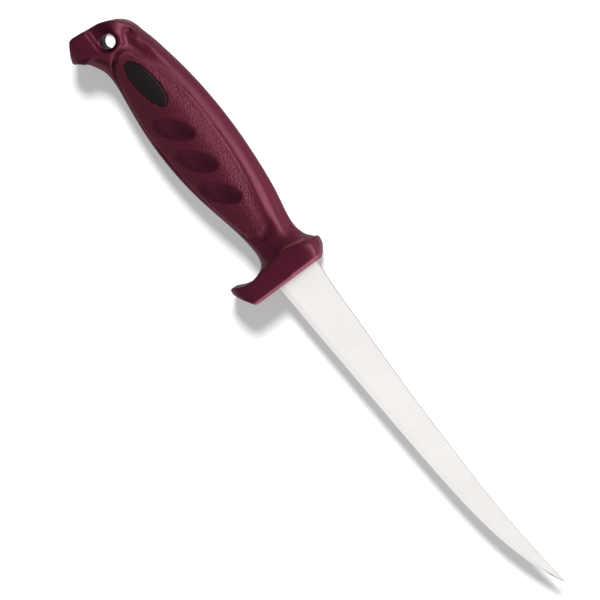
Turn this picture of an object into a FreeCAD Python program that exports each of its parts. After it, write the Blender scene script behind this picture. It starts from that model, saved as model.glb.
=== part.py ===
"""Fillet knife: a thin upswept blade whose hidden tang is moulded into a one-piece finger-guard handle.

The knife lies flat on its left side. X runs from the butt to the tip, Y from the cutting edge to the
spine and Z is the thickness. The sketches are drawn from the front face of the guard, on the line of
the blade, and every form carries the same placement to the middle of the whole knife's footprint.
"""
import FreeCAD, Part
import math
import os
import Sketcher
from FreeCAD import Placement, Rotation, Vector

# Driving dimensions, in millimetres and degrees
DIMENSIONS = [
    ("blade_length", 152.4),
    ("heel_height", 17.5),
    ("spine_thickness", 2.0),
    ("tip_thickness", 0.9),
    ("edge_thickness", 0.2),
    ("bevel_width", 2.0),
    ("blade_seat_depth", 2.5),
    ("tang_length", 86.0),
    ("tang_height", 12.5),
    ("tang_end_height", 9.0),
    ("tang_hole_diameter", 5.0),
    ("tang_hole_distance", 22.0),
    ("tang_hole_end_setback", 16.0),
    ("handle_length", 121.9),
    ("handle_thickness", 21.0),
    ("grip_thickness", 19.2),
    ("spine_rise", 13.95),
    ("belly_drop", 15.6),
    ("neck_distance", 17.0),
    ("neck_thickness", 15.2),
    ("neck_rise", 9.65),
    ("neck_drop", 8.45),
    ("flare_thickness", 26.8),
    ("guard_rise", 14.6),
    ("guard_drop", 24.7),
    ("guard_face_rise", 10.1),
    ("guard_face_drop", 18.8),
    ("guard_depth", 10.75),
    ("guard_edge_chamfer", 0.9),
    ("guard_crown", 1.75),
    ("quillon_tip_radius", 1.65),
    ("finger_notch_radius", 12.0),
    ("thumb_tip_radius", 1.2),
    ("thumb_end_radius", 13.0),
    ("butt_length", 21.2),
    ("butt_rise", 7.2),
    ("butt_crown", 0.75),
    ("butt_back_radius", 15.5),
    ("butt_corner_radius", 2.2),
    ("hook_drop", 21.5),
    ("hook_radius", 13.0),
    ("hook_tip_radius", 0.7),
    ("panel_setback", 20.0),
    ("panel_end_setback", 15.2),
    ("panel_rise", 0.7),
    ("panel_groove_depth", 1.3),
    ("dimple_length", 17.5),
    ("dimple_width", 7.8),
    ("dimple_depth", 1.9),
    ("dimple_cutter_height", 4.0),
    ("dimple_pitch", 14.9),
    ("dimple_distance", 42.0),
    ("dimple_drop", 4.4),
    ("dimple_angle", 40.0),
    ("dimple_tilt", 10.0),
    ("badge_length", 21.8),
    ("badge_width", 7.7),
    ("badge_depth", 1.2),
    ("badge_setback", 30.3),
    ("badge_drop", 2.4),
    ("badge_angle", 8.0),
    ("badge_clearance", 0.12),
    ("bore_radius", 3.0),
    ("bore_setback", 8.9),
    ("bore_drop", 4.8),
    ("bore_ring_relief", 0.35),
    ("bore_ring_width", 1.2),
    ("channel_width", 7.1),
    ("channel_web", 14.5),
    ("channel_draft", 15.0),
    ("overrun", 6.0),
]
NUMBERS = dict(DIMENSIONS)

# Holes along the tang
TANG_HOLE_COUNT = 3

# Blade outline, from heel to tip: (place along the blade, spine, edge), both heights in heel heights
BLADE_SHARES = [
    (0.000, 0.478, -0.520),
    (0.052, 0.452, -0.499),
    (0.160, 0.430, -0.441),
    (0.370, 0.400, -0.322),
    (0.580, 0.412, -0.192),
    (0.720, 0.440, -0.070),
    (0.840, 0.510, 0.112),
    (0.920, 0.578, 0.318),
    (0.972, 0.628, 0.504),
    (1.000, 0.650, 0.636),
]

# Height of blade, in heel heights, under which the edge bevel narrows
FULL_BEVEL_SHARE = 0.5

# Grip, from the neck to the butt: (place along the grip, spine, belly, thickness) as shares of each,
# then the radius of its crowned sides as a share of its height
GRIP_SHARES = [
    (0.119, 0.803, 0.622, 0.865, 1.000),
    (0.310, 0.946, 0.840, 0.969, 0.800),
    (0.500, 1.000, 0.974, 1.000, 0.730),
    (0.691, 0.964, 0.987, 0.984, 0.730),
    (0.882, 0.835, 0.885, 0.948, 0.800),
    (1.000, 0.703, 0.830, 0.938, 0.950),
]

# Flare into the guard: (place within the neck distance, then how far from neck to guard size)
GUARD_FLARE_SHARES = [
    (0.412, 0.728, 0.376, 1.000),
    (0.506, 0.630, 0.254, 0.760),
    (0.588, 0.379, 0.131, 0.500),
    (0.670, 0.204, 0.052, 0.276),
    (0.765, 0.107, 0.018, 0.120),
    (0.880, 0.020, 0.000, 0.026),
]

# Flare into the butt: (place within the butt length, spine, hook and thickness) as shares of each
BUTT_FLARE_SHARES = [
    (0.190, 1.236, 0.628, 0.862),
    (0.355, 1.097, 0.708, 0.985),
    (0.480, 1.000, 0.780, 1.032),
    (0.590, 0.917, 0.885, 1.065),
]

# Rounded tips: the directions, as shares of the tip's radius, in which its arc starts and ends
THUMB_TIP_SHARES = [(0.300, 0.954), (-0.970, 0.243)]
QUILLON_TIP_SHARES = [(-0.940, 0.341), (0.530, -0.848)]
BUTT_CORNER_SHARES = [(-0.991, 0.134), (-0.560, -0.828)]
HOOK_TIP_SHARES = [(-0.560, -0.828), (0.960, 0.280)]

# Guard outline: places along the guard's depth, and heights of the part hidden in the flare
THUMB_PLACE_SHARE = 0.614
FLARE_PLACE_SHARE = 0.800
FLARE_RISE_SHARE = 0.800
FLARE_DROP_SHARE = 0.700
NOTCH_SHARES = (0.875, 1.200)

# Butt outline: (place along the butt's length, height as a share of the hook's drop)
BACK_SHARES = (0.055, -0.184)
CORNER_HEIGHT_SHARE = 0.698
HOOK_PLACE_SHARE = 0.358
BUTT_FRONT_SHARE = 0.510
HOOK_ROOT_SHARES = (0.530, -0.775)

# Side panel: (place from its front, height in spine rises or belly drops, arc radius in panel lengths)
PANEL_SHARES = [
    (0.980, 0.029, 0.977),
    (1.000, -0.270, 0.040),
    (0.930, -0.600, 0.130),
    (0.560, -0.859, 0.950),
    (0.052, -0.449, 1.790),
    (0.000, -0.150, 0.070),
    (0.060, 0.247, 0.108),
    (0.511, 0.584, 1.633),
]

# Groove round the side panel, in the same terms
GROOVE_SHARES = [
    (1.050, 0.373, 2.000),
    (1.073, 0.258, 0.021),
    (1.053, 0.093, 0.025),
    (1.018, 0.022, 0.100),
    (1.017, -0.220, 0.100),
    (0.940, -0.699, 0.137),
    (0.560, -0.923, 1.610),
    (0.035, -0.506, 2.020),
    (-0.028, -0.100, 0.100),
    (0.046, 0.344, 0.114),
    (0.511, 0.677, 1.673),
    (0.888, 0.473, 1.904),
]

# Heights of the finger dimples and of the badge seat, in half grip thicknesses
DIMPLE_LEVEL_SHARES = (0.955, 1.000, 0.990)
BADGE_LEVEL_SHARE = 0.95

# Lanyard hole: level of the relief rings in the web, and reach of the channel's round end in half widths
RING_LEVEL_SHARE = 0.25
CHANNEL_END_SHARE = 0.98

# Roundness of the handle's cross-section, as shares of its half thickness or its height
CORNER_SHARE = 0.55
GUARD_CORNER_SHARE = 0.22
CROWN_SHARE = 1.30
SIDE_CROWN_SHARE = 1.25
SHOULDER_THICKNESS_SHARE = 0.62


class Size:
    """A length held twice: the value that it has now, and the expression on the sheet that gives it."""

    def __init__(self, value, text):
        self.value = value
        self.text = text

    def join(self, other, sign, result):
        """Return the size made by one arithmetic step with another size or a plain share."""
        text = other.text if isinstance(other, Size) else str(other)
        return Size(result, f"({self.text} {sign} {text})")

    def __add__(self, other):
        return self.join(other, "+", self.value + other.value)

    def __sub__(self, other):
        return self.join(other, "-", self.value - other.value)

    def __mul__(self, share):
        return self.join(share, "*", self.value * getattr(share, "value", share))

    def __truediv__(self, other):
        return self.join(other, "/", self.value / getattr(other, "value", other))

    def __neg__(self):
        return Size(-self.value, f"(-{self.text})")

    def root(self):
        """Return the square root of this size."""
        return Size(math.sqrt(self.value), f"sqrt({self.text})")


def size(alias):
    """Return one driving dimension."""
    return Size(NUMBERS[alias], f"Sizes.{alias}")


def blend(first, last, share):
    """Return the size that lies the given share of the way between two sizes."""
    return first + (last - first) * share


ZERO = Size(0.0, "0")
ONE = Size(1.0, "1")

doc = FreeCAD.newDocument("fillet_knife")
sheet = doc.addObject("Spreadsheet::Sheet", "Sizes")
for row, (alias, number) in enumerate(DIMENSIONS, start=1):
    sheet.set(f"A{row}", alias)
    sheet.set(f"B{row}", str(number))
    sheet.setAlias(f"B{row}", alias)
doc.recompute()

half_thickness = size("handle_thickness") / 2
overrun = size("overrun")
datum = (
    (size("handle_length") - size("blade_length")) / 2,
    (size("guard_drop") - size("guard_rise")) / 2,
    half_thickness,
)


def place(thing, x=ZERO, y=ZERO, z=ZERO, rotation=Rotation()):
    """Put an object at a point measured from the guard face, and tie that point to the sheet."""
    thing.Placement = Placement(Vector(), rotation)
    for axis, base, local in zip("xyz", datum, (x, y, z)):
        thing.setExpression(f"Placement.Base.{axis}", (base + local).text)


def new_body(name):
    """Add an empty body on the knife's datum."""
    body = doc.addObject("PartDesign::Body", name)
    place(body)
    return body


def new_sketch(body, name, role, offset=ZERO):
    """Add a sketch on one origin plane of the body, moved along the plane's normal."""
    sketch = body.newObject("Sketcher::SketchObject", name)
    plane = next(item for item in body.Origin.OriginFeatures if item.Role == role)
    sketch.AttachmentSupport = [(plane, "")]
    sketch.MapMode = "FlatFace"
    sketch.setExpression("AttachmentOffset.Base.z", offset.text)
    return sketch


def dimension(sketch, constraint, length):
    """Add a dimension to a sketch and tie it to the sheet."""
    index = sketch.addConstraint(constraint)
    sketch.setExpression(f"Constraints[{index}]", length.text)


def fix_point(sketch, geometry, end, point):
    """Dimension one point of a sketch from the sketch's origin."""
    for kind, length in zip(("DistanceX", "DistanceY"), point):
        if length is ZERO:
            axis = -2 if kind == "DistanceX" else -1
            sketch.addConstraint(Sketcher.Constraint("PointOnObject", geometry, end, axis))
        else:
            dimension(sketch, Sketcher.Constraint(kind, -1, 1, geometry, end, length.value), length)


def flat(point):
    """Return the present place of a point in its sketch."""
    return Vector(point[0].value, point[1].value, 0)


def around(centre, radius, shares):
    """Return the point of a circle that lies in the given direction from its centre."""
    return (centre[0] + radius * shares[0], centre[1] + radius * shares[1])


def arc_between(start, end, radius, turn):
    """Return the arc of under a half circle from start to end; turn 1 is anticlockwise, -1 clockwise."""
    chord = end - start
    rise = math.sqrt(radius ** 2 - (chord.Length / 2) ** 2)
    normal = Vector(-chord.y, chord.x, 0).normalize()
    centre = start + chord * 0.5 + normal * rise * turn
    middle = centre - normal * radius * turn
    return Part.Arc(start, middle, end)


def outline(sketch, start, segments):
    """Draw a closed outline of lines and arcs; each segment is (end point, radius, turn)."""
    ends = [start] + [segment[0] for segment in segments]
    kinds = []
    for index, (end, radius, turn) in enumerate(segments):
        first, last = flat(ends[index]), flat(end)
        if radius is None:
            sketch.addGeometry(Part.LineSegment(first, last))
            kinds.append((1, 2))
        else:
            sketch.addGeometry(arc_between(first, last, radius.value, turn))
            kinds.append((1, 2) if turn > 0 else (2, 1))
    count = len(segments)
    for index, (end, radius, turn) in enumerate(segments):
        following = (index + 1) % count
        last, first = kinds[index][1], kinds[following][0]
        sketch.addConstraint(Sketcher.Constraint("Coincident", index, last, following, first))
        fix_point(sketch, index, last, end)
        if radius is not None:
            dimension(sketch, Sketcher.Constraint("Radius", index, radius.value), radius)


def polygon(sketch, points):
    """Draw a closed outline of straight lines through the points."""
    outline(sketch, points[-1], [(point, None, 0) for point in points])


def meeting(first, first_reach, second, second_reach, outward):
    """Return where two circles meet, on the side that the outward direction points to."""
    gap = second - first
    along = (first_reach ** 2 - second_reach ** 2 + gap.Length ** 2) / (2 * gap.Length)
    across = math.sqrt(first_reach ** 2 - along ** 2)
    unit = Vector(gap).normalize()
    normal = Vector(-unit.y, unit.x, 0)
    if normal.dot(outward) < 0:
        normal = -normal
    return first + unit * along + normal * across


def rounded_section(sketch, top, bottom, half, corner_share, side_share):
    """Draw one cross-section of the handle as eight tangent arcs: crowned sides and round corners."""
    corner = half * corner_share
    crown = half * CROWN_SHARE
    side = (top - bottom) * side_share
    middle = (top + bottom) / 2
    centres = [
        (top - crown, ZERO),
        (middle, side - half),
        (bottom + crown, ZERO),
        (middle, half - side),
    ]
    reaches = [crown, side, crown, side]
    outward = [Vector(1, -1, 0), Vector(-1, -1, 0), Vector(-1, 1, 0), Vector(1, 1, 0)]
    corners = []
    for index in range(4):
        following = (index + 1) % 4
        corners.append(meeting(
            flat(centres[index]), reaches[index].value - corner.value,
            flat(centres[following]), reaches[following].value - corner.value, outward[index]))
    touches = []
    for index in range(4):
        before, after = corners[index - 1], corners[index]
        centre = flat(centres[index])
        for point in (before, after):
            touches.append(centre + (point - centre).normalize() * reaches[index].value)
    normal = Vector(0, 0, 1)
    for index in range(4):
        centre = flat(centres[index])
        first, last = touches[2 * index], touches[2 * index + 1]
        following = touches[(2 * index + 2) % 8]
        for hub, radius, end, start in (
                (centre, reaches[index].value, first, last),
                (corners[index], corner.value, last, following)):
            angles = [math.atan2(point.y - hub.y, point.x - hub.x) for point in (start, end)]
            sketch.addGeometry(Part.ArcOfCircle(Part.Circle(hub, normal, radius), *angles))
    for index in range(8):
        sketch.addConstraint(Sketcher.Constraint("Tangent", index, 1, (index + 1) % 8, 2))
    for index in range(4):
        fix_point(sketch, 2 * index, 3, centres[index])
        arc = Sketcher.Constraint("Radius", 2 * index, reaches[index].value)
        dimension(sketch, arc, reaches[index])
        bend = Sketcher.Constraint("Radius", 2 * index + 1, corner.value)
        dimension(sketch, bend, corner)


def loft(body, name, sketches):
    """Loft a solid through the sketches, in their order."""
    feature = body.newObject("PartDesign::AdditiveLoft", name)
    feature.Profile = sketches[0]
    feature.Sections = sketches[1:]
    return feature


def pad(body, sketch, length, two_sided=False):
    """Pad a sketch by a length, either way from its plane when two-sided."""
    feature = body.newObject("PartDesign::Pad", f"{sketch.Name}_pad")
    feature.Profile = sketch
    feature.setExpression("Length", length.text)
    if two_sided:
        feature.SideType = "Symmetric"
    return feature


def boolean(kind, name, base, tool):
    """Join, cut or intersect two objects."""
    result = doc.addObject(f"Part::{kind}", name)
    result.Base = base
    result.Tool = tool
    return result


def group(kind, name, members):
    """Gather several objects into one compound or one fused shape."""
    result = doc.addObject(f"Part::{kind}", name)
    setattr(result, "Links" if kind == "Compound" else "Shapes", members)
    return result


def thickened(name, base, factor):
    """Return a copy of a form whose thickness is multiplied about the knife's mid-plane.

    The scaling also lifts the form by its own height above the ground, which is taken off again.
    """
    result = doc.addObject("Part::Scale", name)
    result.Base = base
    result.Uniform = False
    result.setExpression("ZScale", factor.text)
    place(result, z=half_thickness * (ONE - factor))
    return result


def make_blade():
    """Make the ground blade and, in one piece with it, the tang with its keying holes."""
    body = new_body("blade")
    sections = []
    stations = [(-size("blade_seat_depth"), BLADE_SHARES[0])]
    stations += [(size("blade_length") * share[0], share) for share in BLADE_SHARES]
    for number, (x, (along, spine_share, edge_share)) in enumerate(stations):
        spine = size("heel_height") * spine_share
        edge = size("heel_height") * edge_share
        back = blend(size("spine_thickness"), size("tip_thickness"), along) / 2
        land = size("edge_thickness") / 2
        bevel = size("bevel_width") * min(1.0, (spine_share - edge_share) / FULL_BEVEL_SHARE)
        if along == 1:
            bevel = (spine - edge) / 2
        shoulder = blend(land, back, SHOULDER_THICKNESS_SHARE)
        sketch = new_sketch(body, f"blade_section_{number}", "YZ_Plane", x)
        polygon(sketch, [
            (spine, back), (edge + bevel, shoulder), (edge, land),
            (edge, -land), (edge + bevel, -shoulder), (spine, -back)])
        sections.append(sketch)
    loft(body, "ground_blade", sections)

    tang = new_sketch(body, "tang", "XY_Plane")
    middle = size("heel_height") * (BLADE_SHARES[0][1] + BLADE_SHARES[0][2]) / 2
    root, end = -size("blade_seat_depth"), -size("tang_length")
    polygon(tang, [
        (root, middle + size("tang_height") / 2), (end, middle + size("tang_end_height") / 2),
        (end, middle - size("tang_end_height") / 2), (root, middle - size("tang_height") / 2)])
    pad(body, tang, size("spine_thickness"), two_sided=True)

    keys = new_sketch(body, "tang_keys", "XY_Plane")
    radius = size("tang_hole_diameter") / 2
    first_hole = size("tang_hole_distance")
    pitch = (size("tang_length") - first_hole - size("tang_hole_end_setback")) / (TANG_HOLE_COUNT - 1)
    for number in range(TANG_HOLE_COUNT):
        centre = (-first_hole - pitch * number, middle)
        keys.addGeometry(Part.Circle(flat(centre), Vector(0, 0, 1), radius.value))
        fix_point(keys, number, 3, centre)
        dimension(keys, Sketcher.Constraint("Radius", number, radius.value), radius)
    doc.recompute()
    pocket = body.newObject("PartDesign::Pocket", "tang_key_holes")
    pocket.Profile = keys
    pocket.setExpression("Length", (size("spine_thickness") + overrun).text)
    pocket.SideType = "Symmetric"
    return body


def handle_stations():
    """Return (place, spine, belly, half thickness, side crown share) of each section, guard to butt."""
    neck = size("neck_distance")
    neck_sizes = (size("neck_rise"), size("neck_drop"), size("neck_thickness") / 2)
    guard_sizes = (size("guard_rise"), size("guard_drop"), size("flare_thickness") / 2)
    stations = []
    for place_share, *shares in GUARD_FLARE_SHARES:
        rise, drop, half = (
            blend(small, large, share)
            for small, large, share in zip(neck_sizes, guard_sizes, shares))
        stations.append((-(neck * place_share), rise, -drop, half, SIDE_CROWN_SHARE))
    stations.append((-neck, neck_sizes[0], -neck_sizes[1], neck_sizes[2], SIDE_CROWN_SHARE))
    grip = size("handle_length") - size("butt_length") - neck
    grip_sizes = (size("spine_rise"), size("belly_drop"), size("grip_thickness") / 2)
    for place_share, *shares, side_share in GRIP_SHARES:
        rise, drop, half = (whole * share for whole, share in zip(grip_sizes, shares))
        stations.append((-(neck + grip * place_share), rise, -drop, half, side_share))
    butt_sizes = (size("butt_rise"), size("hook_drop"), half_thickness)
    for place_share, *shares in BUTT_FLARE_SHARES:
        rise, drop, half = (whole * share for whole, share in zip(butt_sizes, shares))
        back = neck + grip + size("butt_length") * place_share
        stations.append((-back, rise, -drop, half, SIDE_CROWN_SHARE))
    return stations


def make_grip_form(name, sink):
    """Loft the handle's waisted form from the guard to the butt.

    The form may lie deeper than the handle's own surface at the spine and at both sides, as the floor of
    the panels' grooves does.
    """
    body = new_body(name)
    sections = []
    for number, (x, top, bottom, half, side_share) in enumerate(handle_stations()):
        sketch = new_sketch(body, f"{name}_section_{number}", "YZ_Plane", x)
        rounded_section(sketch, top - sink, bottom, half - sink, CORNER_SHARE, side_share)
        sections.append(sketch)
    loft(body, f"{name}_loft", sections)
    return body


def make_end_form(name, start, segments, top, bottom, depth, setback, corner_share):
    """Make a block that has one outline from the side and a crowned, round-cornered one from its end."""
    side_body = new_body(f"{name}_side")
    side = new_sketch(side_body, f"{name}_side_outline", "XY_Plane")
    outline(side, start, segments)
    pad(side_body, side, size("handle_thickness") + overrun, two_sided=True)
    end_body = new_body(f"{name}_end")
    end = new_sketch(end_body, f"{name}_end_outline", "YZ_Plane", -setback)
    half = half_thickness + size(f"{name}_crown")
    rounded_section(end, top, bottom, half, corner_share, SIDE_CROWN_SHARE)
    pad(end_body, end, depth)
    return boolean("Common", f"{name}_form", side_body, end_body)


def make_guard_form():
    """Make the guard: a plate with slanted ends, a rounded quillon and the finger notch behind it."""
    tip = size("quillon_tip_radius")
    thumb = size("thumb_tip_radius")
    depth = size("guard_depth")
    thumb_centre = (-(depth * THUMB_PLACE_SHARE), size("guard_rise") - thumb)
    thumb_ends = [around(thumb_centre, thumb, shares) for shares in THUMB_TIP_SHARES]
    quillon_centre = (tip - depth, tip - size("guard_drop"))
    quillon_ends = [around(quillon_centre, tip, shares) for shares in QUILLON_TIP_SHARES]
    hidden = -(depth * FLARE_PLACE_SHARE)
    notch = (-(depth * NOTCH_SHARES[0]), -(size("neck_drop") * NOTCH_SHARES[1]))
    start = (ZERO, size("guard_face_rise"))
    segments = [
        (thumb_ends[0], size("thumb_end_radius"), 1),
        (thumb_ends[1], thumb, 1),
        ((hidden, size("neck_rise") * FLARE_RISE_SHARE), None, 0),
        ((hidden, -(size("neck_drop") * FLARE_DROP_SHARE)), None, 0),
        (notch, None, 0),
        (quillon_ends[0], size("finger_notch_radius"), -1),
        (quillon_ends[1], tip, 1),
        ((ZERO, -size("guard_face_drop")), None, 0),
        (start, None, 0),
    ]
    block = depth + overrun
    return make_end_form(
        "guard", start, segments, size("guard_rise"), -size("guard_drop"), block, block, GUARD_CORNER_SHARE)


def make_butt_form():
    """Make the butt block: a round back, a flat heel and the down-turned hook."""
    back = -size("handle_length")
    top, drop = size("butt_rise"), size("hook_drop")
    corner, tip = size("butt_corner_radius"), size("hook_tip_radius")
    length = size("butt_length")
    corner_centre = (back + corner, -(drop * CORNER_HEIGHT_SHARE))
    corner_ends = [around(corner_centre, corner, shares) for shares in BUTT_CORNER_SHARES]
    tip_centre = (back + length * HOOK_PLACE_SHARE, tip - drop)
    tip_ends = [around(tip_centre, tip, shares) for shares in HOOK_TIP_SHARES]
    start = (back + length * BUTT_FRONT_SHARE, top)
    segments = [
        ((back + length * BACK_SHARES[0], drop * BACK_SHARES[1]), size("butt_back_radius"), 1),
        (corner_ends[0], None, 0),
        (corner_ends[1], corner, 1),
        (tip_ends[0], None, 0),
        (tip_ends[1], tip, 1),
        ((back + length * HOOK_ROOT_SHARES[0], drop * HOOK_ROOT_SHARES[1]), size("hook_radius"), -1),
        (start, None, 0),
    ]
    return make_end_form(
        "butt", start, segments, top, -drop, length, size("handle_length"), CORNER_SHARE)


def make_panel_prism(name, outline_shares):
    """Make the upright prism of an outline on the grip's side."""
    body = new_body(name)
    sketch = new_sketch(body, f"{name}_outline", "XY_Plane")
    length = size("handle_length") - size("panel_setback") - size("panel_end_setback")
    corners = []
    for along_share, height_share, radius_share in outline_shares:
        height = size("spine_rise") if height_share > 0 else size("belly_drop")
        corner = (-size("panel_setback") - length * along_share, height * height_share)
        corners.append((corner, length * radius_share, 1))
    outline(sketch, corners[0][0], corners[1:] + corners[:1])
    pad(body, sketch, size("handle_thickness") + overrun * 2, two_sided=True)
    return body


def make_dimple_cutters():
    """Make the six slanted ovals that scoop the finger dimples out of both sides."""
    height = size("dimple_cutter_height")
    lift = height - size("dimple_depth")
    ratio = lift / height
    spread = (ONE - ratio * ratio).root()
    cutters = []
    for number, level_share in enumerate(DIMPLE_LEVEL_SHARES):
        for side in (1, -1):
            cutter = doc.addObject("Part::Ellipsoid", f"dimple_cutter_{number}_{side + 1}")
            cutter.setExpression("Radius1", height.text)
            cutter.setExpression("Radius2", (size("dimple_length") / 2 / spread).text)
            cutter.setExpression("Radius3", (size("dimple_width") / 2 / spread).text)
            level = size("grip_thickness") / 2 * level_share + size("panel_rise") + lift
            turn = Rotation(Vector(0, 0, 1), NUMBERS["dimple_angle"])
            tilt = Rotation(Vector(1, 0, 0), -NUMBERS["dimple_tilt"] * side)
            distance = size("dimple_distance") + size("dimple_pitch") * number
            place(cutter, -distance, -size("dimple_drop"), level * side, turn * tilt)
            cutters.append(cutter)
    return group("Compound", "dimple_cutters", cutters)


def make_badge_prism(name, side, margin):
    """Make the oval prism that stands on the floor of one badge seat and reaches out past the side."""
    oval = doc.addObject("Part::Ellipse", f"{name}_oval")
    oval.setExpression("MajorRadius", (size("badge_length") / 2 + margin).text)
    oval.setExpression("MinorRadius", (size("badge_width") / 2 + margin).text)
    floor = size("grip_thickness") / 2 * BADGE_LEVEL_SHARE + size("panel_rise") - size("badge_depth")
    turn = Rotation(Vector(0, 0, 1), NUMBERS["badge_angle"])
    place(oval, size("badge_setback") - size("handle_length"), -size("badge_drop"), floor * side, turn)
    prism = doc.addObject("Part::Extrusion", name)
    prism.Base = oval
    prism.DirMode = "Custom"
    prism.Dir = Vector(0, 0, side)
    prism.setExpression("LengthFwd", overrun.text)
    prism.Solid = True
    return prism


def make_lanyard_cutters():
    """Make the lanyard bore with its relief rings, and the drafted channel behind it on each side."""
    x, y = size("bore_setback") - size("handle_length"), -size("bore_drop")
    cutters = []
    reach = size("handle_thickness") + overrun
    rings = [("lanyard_bore", size("bore_radius"), reach, ZERO)]
    for side in (1, -1):
        level = size("channel_web") * RING_LEVEL_SHARE * side
        radius = size("bore_radius") + size("bore_ring_relief")
        rings.append((f"bore_ring_{side + 1}", radius, size("bore_ring_width"), level))
    for name, radius, height, level in rings:
        cylinder = doc.addObject("Part::Cylinder", name)
        cylinder.setExpression("Radius", radius.text)
        cylinder.setExpression("Height", height.text)
        place(cylinder, x, y, level - height / 2)
        cutters.append(cylinder)
    half = size("channel_width") / 2
    for side in (1, -1):
        body = new_body(f"channel_{side + 1}")
        web = size("channel_web") / 2 * side
        sketch = new_sketch(body, f"channel_outline_{side + 1}", "XY_Plane", web)
        behind = -size("handle_length") - overrun
        outline(sketch, (behind, y - half), [
            ((x, y - half), None, 0),
            ((x + half * CHANNEL_END_SHARE, y), half, 1),
            ((x, y + half), half, 1),
            ((behind, y + half), None, 0),
            ((behind, y - half), None, 0)])
        feature = pad(body, sketch, (size("handle_thickness") - size("channel_web")) / 2 + overrun / 2)
        feature.Reversed = side < 0
        feature.setExpression("TaperAngle", size("channel_draft").text)
        cutters.append(body)
    return group("MultiFuse", "lanyard_cutters", cutters)


def make_handle(blade):
    """Build the moulded handle round the tang, and the two badges let into its sides."""
    grip = make_grip_form("grip_form", ZERO)
    ends = group("MultiFuse", "rough_form", [grip, make_guard_form(), make_butt_form()])

    half_grip = size("grip_thickness") / 2
    raised = thickened("raised_form", grip, ONE + size("panel_rise") / half_grip)
    sunk = make_grip_form("sunk_form", size("panel_groove_depth"))
    groove_prism = make_panel_prism("groove_prism", GROOVE_SHARES)
    groove = boolean("Cut", "panel_groove", groove_prism, sunk)
    panel = boolean("Common", "panel_pillow", make_panel_prism("panel_prism", PANEL_SHARES), raised)
    grooved = boolean("Cut", "grooved_form", ends, groove)
    padded = boolean("Fuse", "padded_form", grooved, panel)

    slab = new_body("side_planes")
    plan = new_sketch(slab, "side_plan", "XZ_Plane")
    chamfer = size("guard_edge_chamfer")
    behind = -size("handle_length") - overrun
    polygon(plan, [
        (ZERO, half_thickness - chamfer), (-chamfer, half_thickness), (behind, half_thickness),
        (behind, -half_thickness), (-chamfer, -half_thickness), (ZERO, chamfer - half_thickness)])
    pad(slab, plan, (size("guard_drop") + overrun) * 2, two_sided=True)
    trimmed = boolean("Common", "trimmed_form", padded, slab)

    scooped = boolean("Cut", "scooped_form", trimmed, make_dimple_cutters())
    bored = boolean("Cut", "bored_form", scooped, make_lanyard_cutters())
    badges = []
    seated = bored
    for label, side in (("badge_right", 1), ("badge_left", -1)):
        seat = make_badge_prism(f"{label}_seat", side, size("badge_clearance"))
        seated = boolean("Cut", f"{label}_seated", seated, seat)
        blank = make_badge_prism(f"{label}_blank", side, ZERO)
        badge = boolean("Common", label, raised, blank)
        badges.append(badge)
    handle = boolean("Cut", "handle", seated, blade)
    return [handle, *badges]


def check(parts):
    """Stop when any object failed to build, or a sub-part has no sound shape."""
    for item in doc.Objects:
        if "Invalid" in item.State or "Error" in item.State:
            raise RuntimeError(f"{item.Label} did not build: {item.State}")
    for item in parts:
        if item.Shape.isNull() or not item.Shape.isValid():
            raise RuntimeError(f"{item.Label} has no sound shape")


def write(parts):
    """Write each sub-part to its own file, and print its solids and volume."""
    os.makedirs("parts", exist_ok=True)
    for item in parts:
        shape = item.Shape
        shape.exportStep(f"parts/{item.Label}.step")
        box = shape.optimalBoundingBox()
        print(f"{item.Label}: {len(shape.Solids)} solid, {shape.Volume:.1f} mm3, "
              f"x {box.XMin:.2f} to {box.XMax:.2f}, y {box.YMin:.2f} to {box.YMax:.2f}, "
              f"z {box.ZMin:.2f} to {box.ZMax:.2f}")


blade_body = make_blade()
knife = [blade_body, *make_handle(blade_body)]
doc.recompute()
check(knife)
write(knife)
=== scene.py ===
"""Fillet knife: a satin blade in a dyed, moulded grip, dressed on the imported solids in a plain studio."""
import logging
import math
from dataclasses import dataclass
from enum import Enum

import bmesh
import bpy
import numpy as np
from mathutils import Matrix, Vector


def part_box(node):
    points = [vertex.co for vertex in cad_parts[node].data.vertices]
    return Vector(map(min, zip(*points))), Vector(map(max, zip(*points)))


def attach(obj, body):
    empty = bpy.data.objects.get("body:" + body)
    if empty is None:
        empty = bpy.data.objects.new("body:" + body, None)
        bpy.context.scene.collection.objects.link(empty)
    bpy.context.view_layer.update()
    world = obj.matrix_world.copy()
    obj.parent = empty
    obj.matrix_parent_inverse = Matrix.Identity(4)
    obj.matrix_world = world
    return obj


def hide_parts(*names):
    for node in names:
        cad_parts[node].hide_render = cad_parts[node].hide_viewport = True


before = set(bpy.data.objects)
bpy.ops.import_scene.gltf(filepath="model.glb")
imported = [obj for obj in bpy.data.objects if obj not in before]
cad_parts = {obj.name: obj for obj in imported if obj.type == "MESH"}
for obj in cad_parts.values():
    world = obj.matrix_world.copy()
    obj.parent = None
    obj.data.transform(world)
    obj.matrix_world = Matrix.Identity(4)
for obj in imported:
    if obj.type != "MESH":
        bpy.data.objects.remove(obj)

MM = 0.001
LOG = logging.getLogger("fillet_knife")
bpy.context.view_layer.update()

WHITE = "#FFFFFF"
# Polypropylene and acrylic bend light alike
PLASTIC_IOR = 1.49
# Octaves of the broad and of the fine noise patterns
BROAD_DETAIL = 3.0
FINE_DETAIL = 2.0
# The level of the knife's mid plane and the place of the lanyard bore, in millimetres
MID_LEVEL = 10.5
BORE_PLACE = (-128.25, 0.25)
# Corners of packed triangles that lie this close, in millimetres, are one corner
MERGE_GAP = 0.004
# The share of the way to its neighbours that a softened vertex moves in one round
SOFTENING = 0.5

Span = tuple[float, float]
Table = tuple[tuple[float, ...], ...]
EVERYWHERE: Span = (-math.inf, math.inf)


class Side(Enum):
    """The two sides of the grip, each with its own inlay."""

    RIGHT = "right"
    LEFT = "left"


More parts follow.
